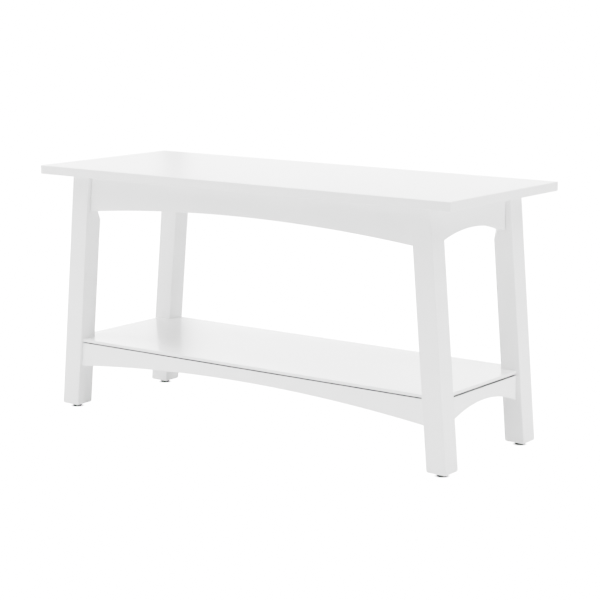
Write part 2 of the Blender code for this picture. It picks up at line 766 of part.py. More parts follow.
# ------------------------------------------------------------------ levelling feet
def foot_pad_mesh():
    """The moulded pad: a disc on the floor with a neck and a socket for the stem."""
    socket_radius = STEM_RADIUS + GAP
    neck_top = FOOT_HEIGHT - GAP
    profile = [
        (0.0, FOOT_SOCKET_FLOOR),
        (socket_radius, FOOT_SOCKET_FLOOR),
        (socket_radius, neck_top),
        (FOOT_NECK_RADIUS, neck_top),
        (FOOT_NECK_RADIUS, FOOT_PAD_THICKNESS),
        (FOOT_PAD_RADIUS - FOOT_PAD_EDGE, FOOT_PAD_THICKNESS),
        (FOOT_PAD_RADIUS, FOOT_PAD_THICKNESS - FOOT_PAD_EDGE),
        (FOOT_PAD_RADIUS, FOOT_PAD_EDGE),
        (FOOT_PAD_RADIUS - FOOT_PAD_EDGE, 0.0),
        (0.0, 0.0),
    ]
    return moved(turned(profile, PAD_SEGMENTS), Matrix.Translation((FOOT_X, FOOT_Y, 0.0)))


def foot_stem_mesh():
    """The threaded stem, drawn at its outer diameter, up through the insert."""
    start = (FOOT_X, FOOT_Y, FOOT_SOCKET_FLOOR + GAP)
    return moved(rod_mesh(STEM_LENGTH - GAP, STEM_RADIUS), Matrix.Translation(start))


def foot_insert_mesh():
    """The threaded insert pressed into the foot of the leg."""
    low = (FOOT_X, FOOT_Y, LEG_BOTTOM + GAP)
    high = (FOOT_X, FOOT_Y, LEG_BOTTOM + GAP + INSERT_LENGTH)
    sleeve = cylinder(low, high, INSERT_RADIUS, PAD_SEGMENTS)
    bore_low = (FOOT_X, FOOT_Y, LEG_BOTTOM - CUT_MARGIN)
    bore_high = (FOOT_X, FOOT_Y, LEG_BOTTOM + INSERT_LENGTH + CUT_MARGIN)
    bore = cylinder(bore_low, bore_high, STEM_RADIUS + GAP, PAD_SEGMENTS)
    return combined(sleeve, [bore], "DIFFERENCE")


# ------------------------------------------------------------------ the whole table
def build_panels(base):
    top_paint = make_material("top_lacquer", WHITE, 0.32, 0.0)
    place("top", top_mesh(), top_paint, (0.0, 0.0, TOP_UNDERSIDE), base)
    shelf_paint = make_material("shelf_lacquer", SHELF_WHITE, 0.28, 0.0)
    place("shelf", shelf_mesh(), shelf_paint, (0.0, 0.0, SHELF_TONGUE_BOTTOM), base)


def build_frame(base):
    at_base = dict.fromkeys(CORNERS, base)
    leg_paint = make_material("leg_lacquer", WHITE, 0.34, 0.0)
    leg_origin = (leg_outer_x(LEG_TOP) - LEG_SIZE / 2, LEG_MIDDLE_Y, LEG_TOP)
    place_at_corners("leg", leg_mesh(), leg_paint, leg_origin, at_base)

    apron_paint = make_material("apron_lacquer", WHITE, 0.34, 0.0)
    apron_y = LONG_APRON_INNER_Y + APRON_THICKNESS / 2
    apron_x = END_APRON_INNER_X + APRON_THICKNESS / 2
    place_front_and_rear("apron", long_apron_mesh(), apron_paint, (0, apron_y, APRON_TOP), base)
    place_left_and_right("apron", end_apron_mesh(), apron_paint, (apron_x, 0, APRON_TOP), base)

    rail_paint = make_material("rail_lacquer", WHITE, 0.34, 0.0)
    rail_y = LONG_RAIL_INNER_Y + RAIL_THICKNESS / 2
    rail_x = END_RAIL_INNER_X + RAIL_THICKNESS / 2
    place_front_and_rear("rail", long_rail_mesh(), rail_paint, (0, rail_y, RAIL_TOP), base)
    end_origin = (rail_x, 0, END_RAIL_TOP)
    place_left_and_right("rail", end_rail_mesh(), rail_paint, end_origin, base)

    cleat_paint = make_material("cleat_lacquer", WHITE, 0.40, 0.0)
    cleat_origin = (0.0, cleat_middle_y(), SHELF_TONGUE_BOTTOM)
    place_front_and_rear("cleat", cleat_mesh(), cleat_paint, cleat_origin, base)

    wood = make_material("bare_wood", BARE_WOOD, 0.60, 0.0)
    block_origin = (SEAT_MIDDLE_X, SEAT_MIDDLE_Y, BLOCK_BOLT_Z)
    place_at_corners("corner_block", corner_block_mesh(), wood, block_origin, at_base)


def build_fasteners(base):
    at_base = dict.fromkeys(CORNERS, base)
    zinc = make_material("zinc_steel", ZINC, 0.35, 1.0)
    seat = (SEAT_MIDDLE_X, SEAT_MIDDLE_Y, BLOCK_BOLT_Z)
    rail_end = (leg_inner_x(RAIL_BOLT_Z), RAIL_BOLT_Y, RAIL_BOLT_Z)
    top_screw = top_screw_centre()
    screw_origin = (top_screw.x, top_screw.y, BLOCK_BOTTOM)
    shelf_screw = (SHELF_SCREW_SPACING / 2, cleat_middle_y(), SHELF_TONGUE_BOTTOM - CLEAT_SIZE)
    place_at_corners("block_bolt", block_bolt_mesh(), zinc, seat, at_base)
    place_at_corners("block_nut", block_nut_mesh(), zinc, seat, at_base)
    place_at_corners("rail_bolt", rail_bolt_mesh(), zinc, rail_end, at_base)
    place_at_corners("rail_nut", rail_nut_mesh(), zinc, rail_end, at_base)
    place_at_corners("top_screw", top_screw_mesh(), zinc, screw_origin, at_base)
    place_at_corners("shelf_screw", shelf_screw_mesh(), zinc, shelf_screw, at_base)


def build_feet(base):
    """Each foot's pad and stem hang from an empty on the axis that they travel along."""
    at_base = dict.fromkeys(CORNERS, base)
    insert_steel = make_material("insert_steel", ZINC, 0.40, 1.0)
    insert_origin = (FOOT_X, FOOT_Y, LEG_BOTTOM)
    place_at_corners("foot_insert", foot_insert_mesh(), insert_steel, insert_origin, at_base)
    plastic = make_material("black_plastic", BLACK, 0.45, 0.0)
    steel = make_material("stem_steel", ZINC, 0.30, 1.0)
    place_at_corners("foot_pad", foot_pad_mesh(), plastic, (FOOT_X, FOOT_Y, 0.0), at_base)
    place_at_corners("foot_stem", foot_stem_mesh(), steel, (FOOT_X, FOOT_Y, 0.0), at_base)


clear_scene()
TABLE = make_collection("console_table")
CUTTERS = make_collection("cutters")
BASE = make_anchor("table_base", (0.0, 0.0, 0.0))
build_panels(BASE)
build_frame(BASE)
build_fasteners(BASE)
build_feet(BASE)
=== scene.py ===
"""The looks of the white console table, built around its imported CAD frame.

The wooden pieces are the CAD's own surfaces, welded and shaded cleanly. The bolts, nuts,
screws, inserts and feet are new pieces with threads, recesses and ribs, which take their
place and size from the CAD nodes that they replace.
"""
import math
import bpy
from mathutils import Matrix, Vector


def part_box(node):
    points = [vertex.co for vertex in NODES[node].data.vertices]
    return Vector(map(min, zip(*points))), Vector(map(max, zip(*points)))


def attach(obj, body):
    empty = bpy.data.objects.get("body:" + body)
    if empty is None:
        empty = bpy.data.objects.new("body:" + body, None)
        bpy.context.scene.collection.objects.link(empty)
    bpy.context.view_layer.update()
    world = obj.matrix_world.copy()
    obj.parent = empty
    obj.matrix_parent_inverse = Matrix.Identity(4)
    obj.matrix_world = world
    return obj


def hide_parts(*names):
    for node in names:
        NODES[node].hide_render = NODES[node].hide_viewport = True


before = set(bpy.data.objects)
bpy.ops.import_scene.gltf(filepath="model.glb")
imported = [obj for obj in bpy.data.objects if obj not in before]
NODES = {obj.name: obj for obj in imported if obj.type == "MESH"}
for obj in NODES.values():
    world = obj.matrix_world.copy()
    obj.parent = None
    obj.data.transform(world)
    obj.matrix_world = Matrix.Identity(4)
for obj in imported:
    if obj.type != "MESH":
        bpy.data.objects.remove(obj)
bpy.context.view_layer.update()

import bmesh
import bpy
from mathutils import Matrix, Vector

# ------------------------------------------------------------------ the view, metres and degrees
CAMERA_AZIMUTH = 36.46
CAMERA_ELEVATION = 10.33
CAMERA_ROLL = 0.12
CAMERA_DISTANCE = 4.413
CAMERA_TARGET = Vector((0.0314, 0.0, 0.3139))
CAMERA_LENS = 109.2
SENSOR_WIDTH = 36.0

CORNERS = {
    "front_left": (-1, -1),
    "front_right": (1, -1),
    "rear_left": (-1, 1),
    "rear_right": (1, 1),
}
UP = Vector((0.0, 0.0, 1.0))
WELD_DISTANCE = 1.0e-5
FLAT_ANGLE = math.radians(0.05)
SHARP_ANGLE = math.radians(35.0)
NOISE_LOW = 0.3
NOISE_HIGH = 0.7


# ------------------------------------------------------------------ node helpers
class Shader:
    """A Principled material whose inputs are fed by procedural nodes, in object space."""

    def __init__(self, name, colour, roughness, metallic=0.0):
        self.material = bpy.data.materials.new(name)
        self.material.use_nodes = True
        self.tree = self.material.node_tree
        self.principled = self.tree.nodes["Principled BSDF"]
        self.principled.inputs["Base Color"].default_value = (*colour, 1.0)
        self.principled.inputs["Roughness"].default_value = roughness
        self.principled.inputs["Metallic"].default_value = metallic
        self.coordinates = self.add("ShaderNodeTexCoord").outputs["Object"]
        self.normal = None

    def add(self, kind, **settings):
        node = self.tree.nodes.new(kind)
        for key, value in settings.items():
            setattr(node, key, value)
        return node

    def link(self, source, target):
        self.tree.links.new(source, target)

    def mapped(self, scale, rotation=(0.0, 0.0, 0.0)):
        """Object coordinates turned to a piece's own axes, then scaled for each axis."""
        turn = self.add("ShaderNodeMapping", vector_type="TEXTURE")
        turn.inputs["Rotation"].default_value = rotation
        self.link(self.coordinates, turn.inputs["Vector"])
        stretch = self.add("ShaderNodeMapping")
        stretch.inputs["Scale"].default_value = scale
        self.link(turn.outputs["Vector"], stretch.inputs["Vector"])
        return stretch.outputs["Vector"]

    def noise(self, scale, detail=2.0, rotation=(0.0, 0.0, 0.0), distortion=0.0):
        """Noise with its own scale, features per metre, along each axis."""
        noise = self.add("ShaderNodeTexNoise")
        noise.inputs["Scale"].default_value = 1.0
        noise.inputs["Detail"].default_value = detail
        noise.inputs["Distortion"].default_value = distortion
        self.link(self.mapped(scale, rotation), noise.inputs["Vector"])
        return noise.outputs["Fac"]

    def colour_between(self, fac, low, high):
        ramp = self.add("ShaderNodeValToRGB")
        ramp.color_ramp.elements[0].position = NOISE_LOW
        ramp.color_ramp.elements[0].color = (*low, 1.0)
        ramp.color_ramp.elements[1].position = NOISE_HIGH
        ramp.color_ramp.elements[1].color = (*high, 1.0)
        self.link(fac, ramp.inputs["Fac"])
        self.link(ramp.outputs["Color"], self.principled.inputs["Base Color"])

    def paint_shade_on_upper_faces(self, colour, slope):
        """Paints shade in a set colour on the faces that point up."""
        geometry = self.add("ShaderNodeNewGeometry")
        parts = self.add("ShaderNodeSeparateXYZ")
        self.link(geometry.outputs["True Normal"], parts.inputs["Vector"])
        shade_mask = self.add("ShaderNodeMath", operation="GREATER_THAN")
        shade_mask.inputs[1].default_value = slope
        self.link(parts.outputs["Z"], shade_mask.inputs[0])
        painted = self.principled.inputs["Base Color"].links[0].from_socket
        # The upper faces take painted shade in place of the lacquer colour.
        shade_blend = self.add("ShaderNodeMix", data_type="RGBA")
        self.link(shade_mask.outputs["Value"], shade_blend.inputs["Factor"])
        self.link(painted, shade_blend.inputs[6])
        shade_blend.inputs[7].default_value = (*colour, 1.0)
        self.link(shade_blend.outputs[2], self.principled.inputs["Base Color"])

    def roughness_between(self, fac, low, high):
        span = self.add("ShaderNodeMapRange")
        span.inputs["From Min"].default_value = NOISE_LOW
        span.inputs["From Max"].default_value = NOISE_HIGH
        span.inputs["To Min"].default_value = low
        span.inputs["To Max"].default_value = high
        self.link(fac, span.inputs["Value"])
        self.link(span.outputs["Result"], self.principled.inputs["Roughness"])

    def relief(self, fac, height):
        """Adds a bump of a real height in metres on top of the bumps so far."""
        bump = self.add("ShaderNodeBump")
        bump.inputs["Distance"].default_value = height
        bump.inputs["Strength"].default_value = 1.0
        self.link(fac, bump.inputs["Height"])
        if self.normal:
            self.link(self.normal, bump.inputs["Normal"])
        self.normal = bump.outputs["Normal"]
        self.link(self.normal, self.principled.inputs["Normal"])


# ------------------------------------------------------------------ materials
LACQUER_LOW = (0.843, 0.845, 0.844)
LACQUER_HIGH = (0.873, 0.875, 0.874)
# Near-black painted shade for the upper faces of boards, which darkens the gaps under the panels.
PAINTED_GAP_SHADE = (0.055, 0.052, 0.048)
UPPER_FACE_SLOPE = 0.9
BOARD_ROUGHNESS = 0.34
TOP_ROUGHNESS = 0.30
SHELF_ROUGHNESS = 0.26
SHEEN_SPREAD = 0.012

# Noise features per metre along each axis, and relief heights in metres.
TONE_SCALE = (5.0, 5.0, 5.0)
SHEEN_SCALE = (22.0, 22.0, 22.0)
WAVE_SCALE = (7.0, 7.0, 7.0)
PEEL_SCALE = (480.0, 480.0, 480.0)
BOARD_WAVE = 0.0004
PANEL_WAVE = 0.00004
GRAIN_HEIGHT = 0.00008
PEEL_HEIGHT = 0.000012


def lacquer(name, grain_scale=None, lean=0.0, roughness=BOARD_ROUGHNESS, wave=BOARD_WAVE,
            painted_light_scale=1.0):
    """White satin lacquer: fine orange peel, slow undulation and, on boards, a trace of grain."""
    # A scale above 1 lightens the colour as painted light, as on the rails and cleats.
    low = [channel * painted_light_scale for channel in LACQUER_LOW]
    high = [channel * painted_light_scale for channel in LACQUER_HIGH]
    shader = Shader(name, high, roughness)
    shader.colour_between(shader.noise(TONE_SCALE, 3.0), low, high)
    sheen = shader.noise(SHEEN_SCALE)
    shader.roughness_between(sheen, roughness - SHEEN_SPREAD, roughness + SHEEN_SPREAD)
    shader.relief(shader.noise(WAVE_SCALE, 1.0), wave)
    if grain_scale:
        grain = shader.noise(grain_scale, 3.0, (0.0, lean, 0.0), distortion=0.3)
        shader.relief(grain, GRAIN_HEIGHT)
    shader.relief(shader.noise(PEEL_SCALE, 1.0), PEEL_HEIGHT)
    return shader


def board_lacquer(name, grain_scale, painted_light_scale=1.0):
    """Lacquer for a board, with painted shade in near black on its upper faces to deepen the gap
    under a panel.
    """
    shader = lacquer(name, grain_scale, painted_light_scale=painted_light_scale)
    shader.paint_shade_on_upper_faces(PAINTED_GAP_SHADE, UPPER_FACE_SLOPE)
    return shader.material


def bare_wood(name, turn):
    """Planed rubberwood with its grain along the block, turned about Z to follow it."""
    shader = Shader(name, (0.62, 0.46, 0.29), 0.62)
    rotation = (0.0, 0.0, turn)
    grain = shader.noise((14.0, 160.0, 160.0), 4.0, rotation, distortion=0.8)
    shader.colour_between(grain, (0.50, 0.345, 0.20), (0.70, 0.545, 0.365))
    shader.roughness_between(grain, 0.55, 0.70)
    shader.relief(shader.noise((30.0, 900.0, 900.0), 3.0, rotation), 0.00008)
    return shader.material


def zinc(name, roughness):
    """Bright zinc plating with faint blotches and fine rolling marks."""
    shader = Shader(name, (0.62, 0.62, 0.60), roughness, 1.0)
    blotch = shader.noise((260.0, 260.0, 260.0), 3.0)
    shader.colour_between(blotch, (0.56, 0.57, 0.56), (0.70, 0.70, 0.68))
    shader.roughness_between(blotch, roughness - 0.07, roughness + 0.09)
    shader.relief(shader.noise((2200.0, 2200.0, 2200.0)), 0.000006)
    return shader.material


def moulded_plastic(name):
    """Black moulded plastic with a fine spark-eroded texture and a little dust grey."""
    shader = Shader(name, (0.020, 0.020, 0.022), 0.48)
    cloud = shader.noise((90.0, 90.0, 90.0), 3.0)
    shader.colour_between(cloud, (0.017, 0.017, 0.019), (0.030, 0.030, 0.031))
    shader.roughness_between(cloud, 0.42, 0.55)
    shader.relief(shader.noise((1800.0, 1800.0, 1800.0)), 0.00002)
    return shader.material


# ------------------------------------------------------------------ measures of CAD nodes
def node_points(node):
    obj = NODES[node]
    return [obj.matrix_world @ vertex.co for vertex in obj.data.vertices]


def span(node, axis):
    """Lowest and highest reach of a node along an axis through the origin."""
    reach = [point.dot(axis) for point in node_points(node)]
    return min(reach), max(reach)


def axis_line(node, axis):
    """Where a round node starts along its axis, its length and its largest radius."""
    low, high = span(node, axis)
    side = axis.orthogonal().normalized()
    if abs(axis.z) < 0.5:
        side = axis.cross(UP).normalized()
    other = axis.cross(side)
    side_low, side_high = span(node, side)
    other_low, other_high = span(node, other)
    start = axis * low + side * (side_low + side_high) / 2 + other * (other_low + other_high) / 2
    return start, high - low, (side_high - side_low) / 2


# ------------------------------------------------------------------ mesh helpers
def mesh_from_bmesh(bm, name):
    mesh = bpy.data.meshes.new(name)
    bm.to_mesh(mesh)
    bm.free()
    return mesh


def shaded(mesh):
    mesh.shade_smooth()
    mesh.set_sharp_from_angle(angle=SHARP_ANGLE)
    return mesh


def add_piece(name, mesh, material, body, slot, *nodes):
    """Make a mesh a piece of the picture that rides on a body and stands for CAD nodes."""
    mesh.materials.clear()
    mesh.materials.append(material)
    piece = bpy.data.objects.new(name, mesh)
    bpy.context.scene.collection.objects.link(piece)
    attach(piece, body)
    if nodes:
        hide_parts(*nodes)
    return piece


def clean_copy(node):
    """The node's surface as flat faces that share their points, without CAD triangles."""
    bm = bmesh.new()
    bm.from_mesh(NODES[node].data)
    bmesh.ops.remove_doubles(bm, verts=bm.verts, dist=WELD_DISTANCE)
    bmesh.ops.dissolve_limit(bm, angle_limit=FLAT_ANGLE, verts=bm.verts, edges=bm.edges)
    mesh = mesh_from_bmesh(bm, node)
    return shaded(mesh)


def add_wood(node, material, slot):
    """A wooden piece: the CAD surface with crisp faces and softly lit eased edges."""
    piece = add_piece(f"{node}_surface", clean_copy(node), material, "table", slot, node)
    normals = piece.modifiers.new("Even faces", "WEIGHTED_NORMAL")
    normals.keep_sharp = True
    normals.weight = 100
    return piece


# ------------------------------------------------------------------ wooden pieces
def lean_of(side):
    """The angle of a leg from upright, in the X-Z plane, from its CAD box."""
    low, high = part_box("leg_front_left")
    run = (high[0] - low[0]) - (high[1] - low[1])
    return side * math.atan2(run, high[2] - low[2])


ALONG_GRAIN = 5.0
ACROSS_GRAIN = 300.0
# Rails and cleats are lacquered lighter than the aprons: painted light that makes them show
# brighter.
RAIL_PAINTED_LIGHT = 1.07


def build_wood():
    top = lacquer("top_white_lacquer", roughness=TOP_ROUGHNESS, wave=PANEL_WAVE)
    shelf = lacquer("shelf_white_lacquer", roughness=SHELF_ROUGHNESS, wave=PANEL_WAVE)
    add_wood("top", top.material, "top_lacquer")
    add_wood("shelf", shelf.material, "shelf_lacquer")

    along_x = (ALONG_GRAIN, ACROSS_GRAIN, ACROSS_GRAIN)
    along_y = (ACROSS_GRAIN, ALONG_GRAIN, ACROSS_GRAIN)
    along_z = (ACROSS_GRAIN, ACROSS_GRAIN, ALONG_GRAIN)
    long_apron = board_lacquer("long_apron_white_lacquer", along_x)
    end_apron = board_lacquer("end_apron_white_lacquer", along_y)
    # Rail and cleat lacquer lightened as painted light.
    long_rail = board_lacquer("long_rail_white_lacquer_painted_light", along_x, RAIL_PAINTED_LIGHT)
    end_rail = board_lacquer("end_rail_white_lacquer_painted_light", along_y, RAIL_PAINTED_LIGHT)
    for side in ("front", "rear"):
        add_wood(f"{side}_apron", long_apron, "apron_lacquer")
        add_wood(f"{side}_rail", long_rail, "rail_lacquer")
        add_wood(f"{side}_cleat", long_rail, "cleat_lacquer")
    for side in ("left", "right"):
        add_wood(f"{side}_apron", end_apron, "apron_lacquer")
        add_wood(f"{side}_rail", end_rail, "rail_lacquer")

    legs = {
        -1: lacquer("left_leg_white_lacquer", along_z, lean_of(1)).material,
        1: lacquer("right_leg_white_lacquer", along_z, lean_of(-1)).material,
    }
    blocks = {
        -1: bare_wood("block_wood_falling", math.radians(-45.0)),
        1: bare_wood("block_wood_rising", math.radians(45.0)),
    }
    for corner, (side_x, side_y) in CORNERS.items():
        add_wood(f"leg_{corner}", legs[side_x], "leg_lacquer")
        add_wood(f"corner_block_{corner}", blocks[-side_x * side_y], "bare_wood")


# ------------------------------------------------------------------ turned and threaded pieces
SEGMENTS = 36
ROD_SEGMENTS = 20
SCREW_SEGMENTS = 28
INSERT_SEGMENTS = 48
PAD_SEGMENTS = 96
THREAD_STEPS = 6
MACHINE_PITCH = 0.00125
SMALL_PITCH = 0.001
WOOD_PITCH = 0.0026
SCREW_PITCH = 0.0018
THREAD_DEPTH = 0.6
ROD_CHAMFER = 0.0009
WOOD_TIP = 0.006
PLAIN_SHANK = 0.008
NUT_CHAMFER = 0.0009
BORE_CHAMFER = 0.0004
BORE_CLEARANCE = 0.00008
SOCKET_CLEARANCE = 0.0002
SCREW_HEAD_HEIGHT = 0.0025
RECESS_WIDTH = 0.0011
RECESS_DEPTH = 0.0017
BLADE_OVERRUN = 0.001
BLOCK_BOLT_WOOD_SHARE = 0.53
RAIL_BOLT_WOOD_SHARE = 0.52
BLOCK_NUT_WIDTH = 3.25
RAIL_NUT_WIDTH = 3.33


def ring_mesh(stations, segments=SEGMENTS, closed=False):
    """Rings about Z, each a height and a radius at every angle, joined in order.

    An open stack is capped at both ends; a closed one runs back to its first ring, as the
    section of a nut or a sleeve does.
    """
    bm = bmesh.new()
    rings = []
    for height, radius_at in stations:
        ring = []
        for step in range(segments):
            angle = 2 * math.pi * step / segments
            radius = radius_at(angle)
            ring.append(bm.verts.new((radius * math.cos(angle), radius * math.sin(angle), height)))
        rings.append(ring)
    pairs = list(zip(rings, rings[1:]))
    if closed:
        pairs.append((rings[-1], rings[0]))
    for lower, upper in pairs:
        for step in range(segments):
            after = (step + 1) % segments
            bm.faces.new((lower[step], lower[after], upper[after], upper[step]))
    if not closed:
        bm.faces.new(list(reversed(rings[0])))
        bm.faces.new(rings[-1])
    bmesh.ops.recalc_face_normals(bm, faces=bm.faces)
    return mesh_from_bmesh(bm, "turned")


def plain(radius):
    return lambda angle: radius


def threaded(crest, depth, pitch, height):
    """Radius of a right-handed thread at a height: flat crests with V grooves between."""

    def radius_at(angle):
        phase = (height / pitch - angle / (2 * math.pi)) % 1.0
        groove = min(1.0, max(0.0, 1.3 * abs(2 * phase - 1) - 0.15))
        return crest - depth * groove

    return radius_at


def hexagon(across_flats, limit):
    """Radius of a hexagon with its corners turned down to a limit."""

    def radius_at(angle):
        to_flat = angle % (math.pi / 3) - math.pi / 6
        return min(limit, across_flats / 2 / math.cos(to_flat))

    return radius_at


def larger(first, second):
    return lambda angle: max(first(angle), second(angle))


def heights(start, end, pitch):
    steps = max(2, round(abs(end - start) / pitch * THREAD_STEPS))
    return [start + (end - start) * step / steps for step in range(steps + 1)]


def rod_mesh(length, radius, pitch):
    """A fully threaded rod with chamfered ends."""
    stations = []
    for height in heights(0.0, length, pitch):
        from_end = min(height, length - height)
        crest = radius - max(0.0, ROD_CHAMFER - from_end)
        depth = min(THREAD_DEPTH * pitch, crest - (radius - ROD_CHAMFER))
        stations.append((height, threaded(crest, depth, pitch, height)))
    return ring_mesh(stations, ROD_SEGMENTS)


def hanger_bolt_mesh(length, radius, wood_length, pitch):
    """A bolt with a coarse wood thread from Z = 0, a plain shank and a machine thread."""
    stations = []
    for height in heights(0.0, wood_length - PLAIN_SHANK, WOOD_PITCH):
        crest = radius * min(1.0, 0.35 + 0.65 * height / WOOD_TIP)
        depth = 0.26 * crest
        stations.append((height, threaded(crest, depth, WOOD_PITCH, height)))
    stations.append((wood_length - PLAIN_SHANK + 0.0004, plain(0.93 * radius)))
    stations.append((wood_length - 0.0004, plain(0.93 * radius)))
    for height in heights(wood_length, length, pitch):
        crest = radius - max(0.0, ROD_CHAMFER - (length - height))
        depth = min(THREAD_DEPTH * pitch, crest - (radius - ROD_CHAMFER))
        stations.append((height, threaded(crest, depth, pitch, height)))
    return ring_mesh(stations, ROD_SEGMENTS)


def nut_mesh(height, flange_radius, across_flats, bolt_radius, pitch):
    """A chamfered hexagon nut with a coned flange at Z = 0 and a threaded bore."""
    flange = 0.23 * height
    corner = across_flats / math.sqrt(3.0)
    body = hexagon(across_flats, corner)
    crest = bolt_radius + BORE_CLEARANCE
    depth = THREAD_DEPTH * pitch
    mouth = crest + depth + BORE_CHAMFER
    stations = [
        (0.0, plain(flange_radius - 0.0004)),
        (0.0003, plain(flange_radius)),
        (0.55 * flange, plain(flange_radius)),
        (0.8 * flange, larger(body, plain(0.95 * flange_radius))),
        (1.3 * flange, larger(body, plain(0.5 * (flange_radius + corner)))),
        (1.9 * flange, body),
        (height - NUT_CHAMFER, body),
        (height - 0.5 * NUT_CHAMFER, hexagon(across_flats, 0.95 * corner)),
        (height, hexagon(across_flats, 0.485 * across_flats)),
        (height, plain(mouth)),
    ]
    for level in heights(height - BORE_CHAMFER, BORE_CHAMFER, pitch):
        stations.append((level, threaded(crest + depth, depth, pitch, level)))
    stations.append((0.0, plain(mouth)))
    return ring_mesh(stations, SEGMENTS, closed=True)


def recess_blade(radius, turn):
    """A tapered blade for one arm of the cross recess in a screw head whose face is at Z = 0."""
    bm = bmesh.new()
    made = bmesh.ops.create_cube(bm, size=1.0)["verts"]
    for vert in made:
        deep = vert.co.z > 0.0
        vert.co.x *= (0.7 if deep else 1.25) * radius
        vert.co.y *= (0.7 if deep else 1.1) * RECESS_WIDTH
        vert.co.z = RECESS_DEPTH if deep else -BLADE_OVERRUN
    bmesh.ops.rotate(bm, verts=made, cent=(0, 0, 0), matrix=Matrix.Rotation(turn, 3, "Z"))
    return mesh_from_bmesh(bm, "blade")


def cut(mesh, cutter):
    """A mesh with another cut from it; the helper objects are removed again."""
    base = bpy.data.objects.new("cut_base", mesh)
    tool = bpy.data.objects.new("cut_tool", cutter)
    for helper in (base, tool):
        bpy.context.scene.collection.objects.link(helper)
    step = base.modifiers.new("Cut", "BOOLEAN")
    step.operation = "DIFFERENCE"
    step.solver = "EXACT"
    step.object = tool
    bpy.context.view_layer.update()
    graph = bpy.context.evaluated_depsgraph_get()
    result = bpy.data.meshes.new_from_object(base.evaluated_get(graph))
    result.polygons.foreach_set("material_index", [0] * len(result.polygons))
    for helper in (base, tool):
        bpy.data.objects.remove(helper, do_unlink=True)
    return result


def screw_mesh(length, head_radius):
    """A pan-head wood screw that points along +Z with its head's face at Z = 0."""
    shank = 0.5 * head_radius
    stations = []
    for share, rise in ((0.25, 0.0), (0.55, 0.05), (0.78, 0.17), (0.92, 0.35), (1.0, 0.62)):
        stations.append((rise * SCREW_HEAD_HEIGHT, plain(share * head_radius)))
    stations.append((SCREW_HEAD_HEIGHT, plain(head_radius)))
    stations.append((SCREW_HEAD_HEIGHT, plain(shank * 0.9)))
    for height in heights(SCREW_HEAD_HEIGHT + 0.002, length - 0.0004, SCREW_PITCH):
        crest = shank * min(1.0, 0.12 + (length - height) / 0.0055)
        stations.append((height, threaded(crest, 0.3 * crest, SCREW_PITCH, height)))
    mesh = ring_mesh(stations, SCREW_SEGMENTS)
    for turn in (0.0, math.pi / 2):
        mesh = cut(mesh, recess_blade(head_radius, turn))
    return mesh


def insert_mesh(length, radius, bore_radius):
    """A knurled and barbed sleeve with a flat collar at Z = 0 and a threaded bore."""

    def knurled(outer, relief):
        return lambda angle: outer - relief * (0.5 + 0.5 * math.cos(12 * angle))

    stations = [(0.0, plain(radius - 0.0003)), (0.0003, plain(radius)), (0.0012, plain(radius))]
    stations.append((0.0016, plain(radius - 0.0009)))
    for step in range(4):
        low = 0.0022 + step * (length - 0.003) / 4
        stations.append((low, knurled(radius - 0.0001, 0.0005)))
        stations.append((low + 0.8 * (length - 0.003) / 4, knurled(radius - 0.0007, 0.0004)))
    stations.append((length, plain(radius - 0.0012)))
    mouth = bore_radius + 0.0007
    stations.append((length, plain(mouth)))
    for level in heights(length - 0.0005, 0.0005, MACHINE_PITCH):
        stations.append((level, threaded(mouth, 0.0005, MACHINE_PITCH, level)))
    stations.append((0.0, plain(mouth)))
    return ring_mesh(stations, INSERT_SEGMENTS, closed=True)


def pad_mesh(height, radius, socket_radius):
    """A moulded foot: hollow base, ribbed rim, filleted neck and a socket for the stem."""
    rim = 0.65 * height
    neck = 0.58 * radius

    def ribbed(outer):
        return lambda angle: outer - 0.00035 * (0.5 + 0.5 * math.cos(24 * angle))

    stations = [
        (0.0006, plain(0.62 * radius)),
        (0.0, plain(0.66 * radius)),
        (0.0, plain(radius - 0.0010)),
        (0.0003, plain(radius - 0.0004)),
        (0.0009, ribbed(radius)),
        (rim - 0.0010, ribbed(radius)),
        (rim - 0.0003, plain(radius - 0.0006)),
        (rim, plain(radius - 0.0013)),
        (rim, plain(neck + 0.0010)),
        (rim + 0.0003, plain(neck + 0.0003)),
        (rim + 0.0009, plain(neck)),
        (height - 0.0004, plain(neck)),
        (height, plain(neck - 0.0004)),
        (height, plain(socket_radius + 0.0002)),
        (height - 0.0002, plain(socket_radius)),
        (0.35 * height, plain(socket_radius)),
    ]
    return ring_mesh(stations, PAD_SEGMENTS)


# ------------------------------------------------------------------ hardware in its places
def stand(mesh, start, axis):
    """A copy of a mesh modelled along +Z, stood at a start point along an axis."""
    placed = mesh.copy()
    turn = axis.to_track_quat("Z", "Y").to_matrix().to_4x4()
    placed.transform(Matrix.Translation(start) @ turn)
    return placed


def put(kind, corner, mesh, axis, material, slot, body="table"):
    """Stand a piece of hardware where its CAD node is, in the node's place."""
    node = f"{kind}_{corner}"
    start = axis_line(node, axis)[0]
    placed = shaded(stand(mesh, start, axis))
    add_piece(f"{node}_detail", placed, material, body, slot, node)


def size_of(kind, axis=UP):
    """Length and radius of the front left one of a kind of hardware."""
    return axis_line(f"{kind}_front_left", axis)[1:]


def bolt_and_nut(place, axis, wood_share, nut_width, pitch):
    """The meshes of a hanger bolt and of the flanged nut on it, sized by their CAD nodes."""
    length, radius = size_of(f"{place}_bolt", axis)
    nut_height, flange = size_of(f"{place}_nut", axis)
    bolt = hanger_bolt_mesh(length, radius, length * wood_share, pitch)
    nut = nut_mesh(nut_height, flange, nut_width * radius, radius, pitch)
    return bolt, nut


def screw_for(kind):
    length, radius = size_of(kind)
    return screw_mesh(length, radius)


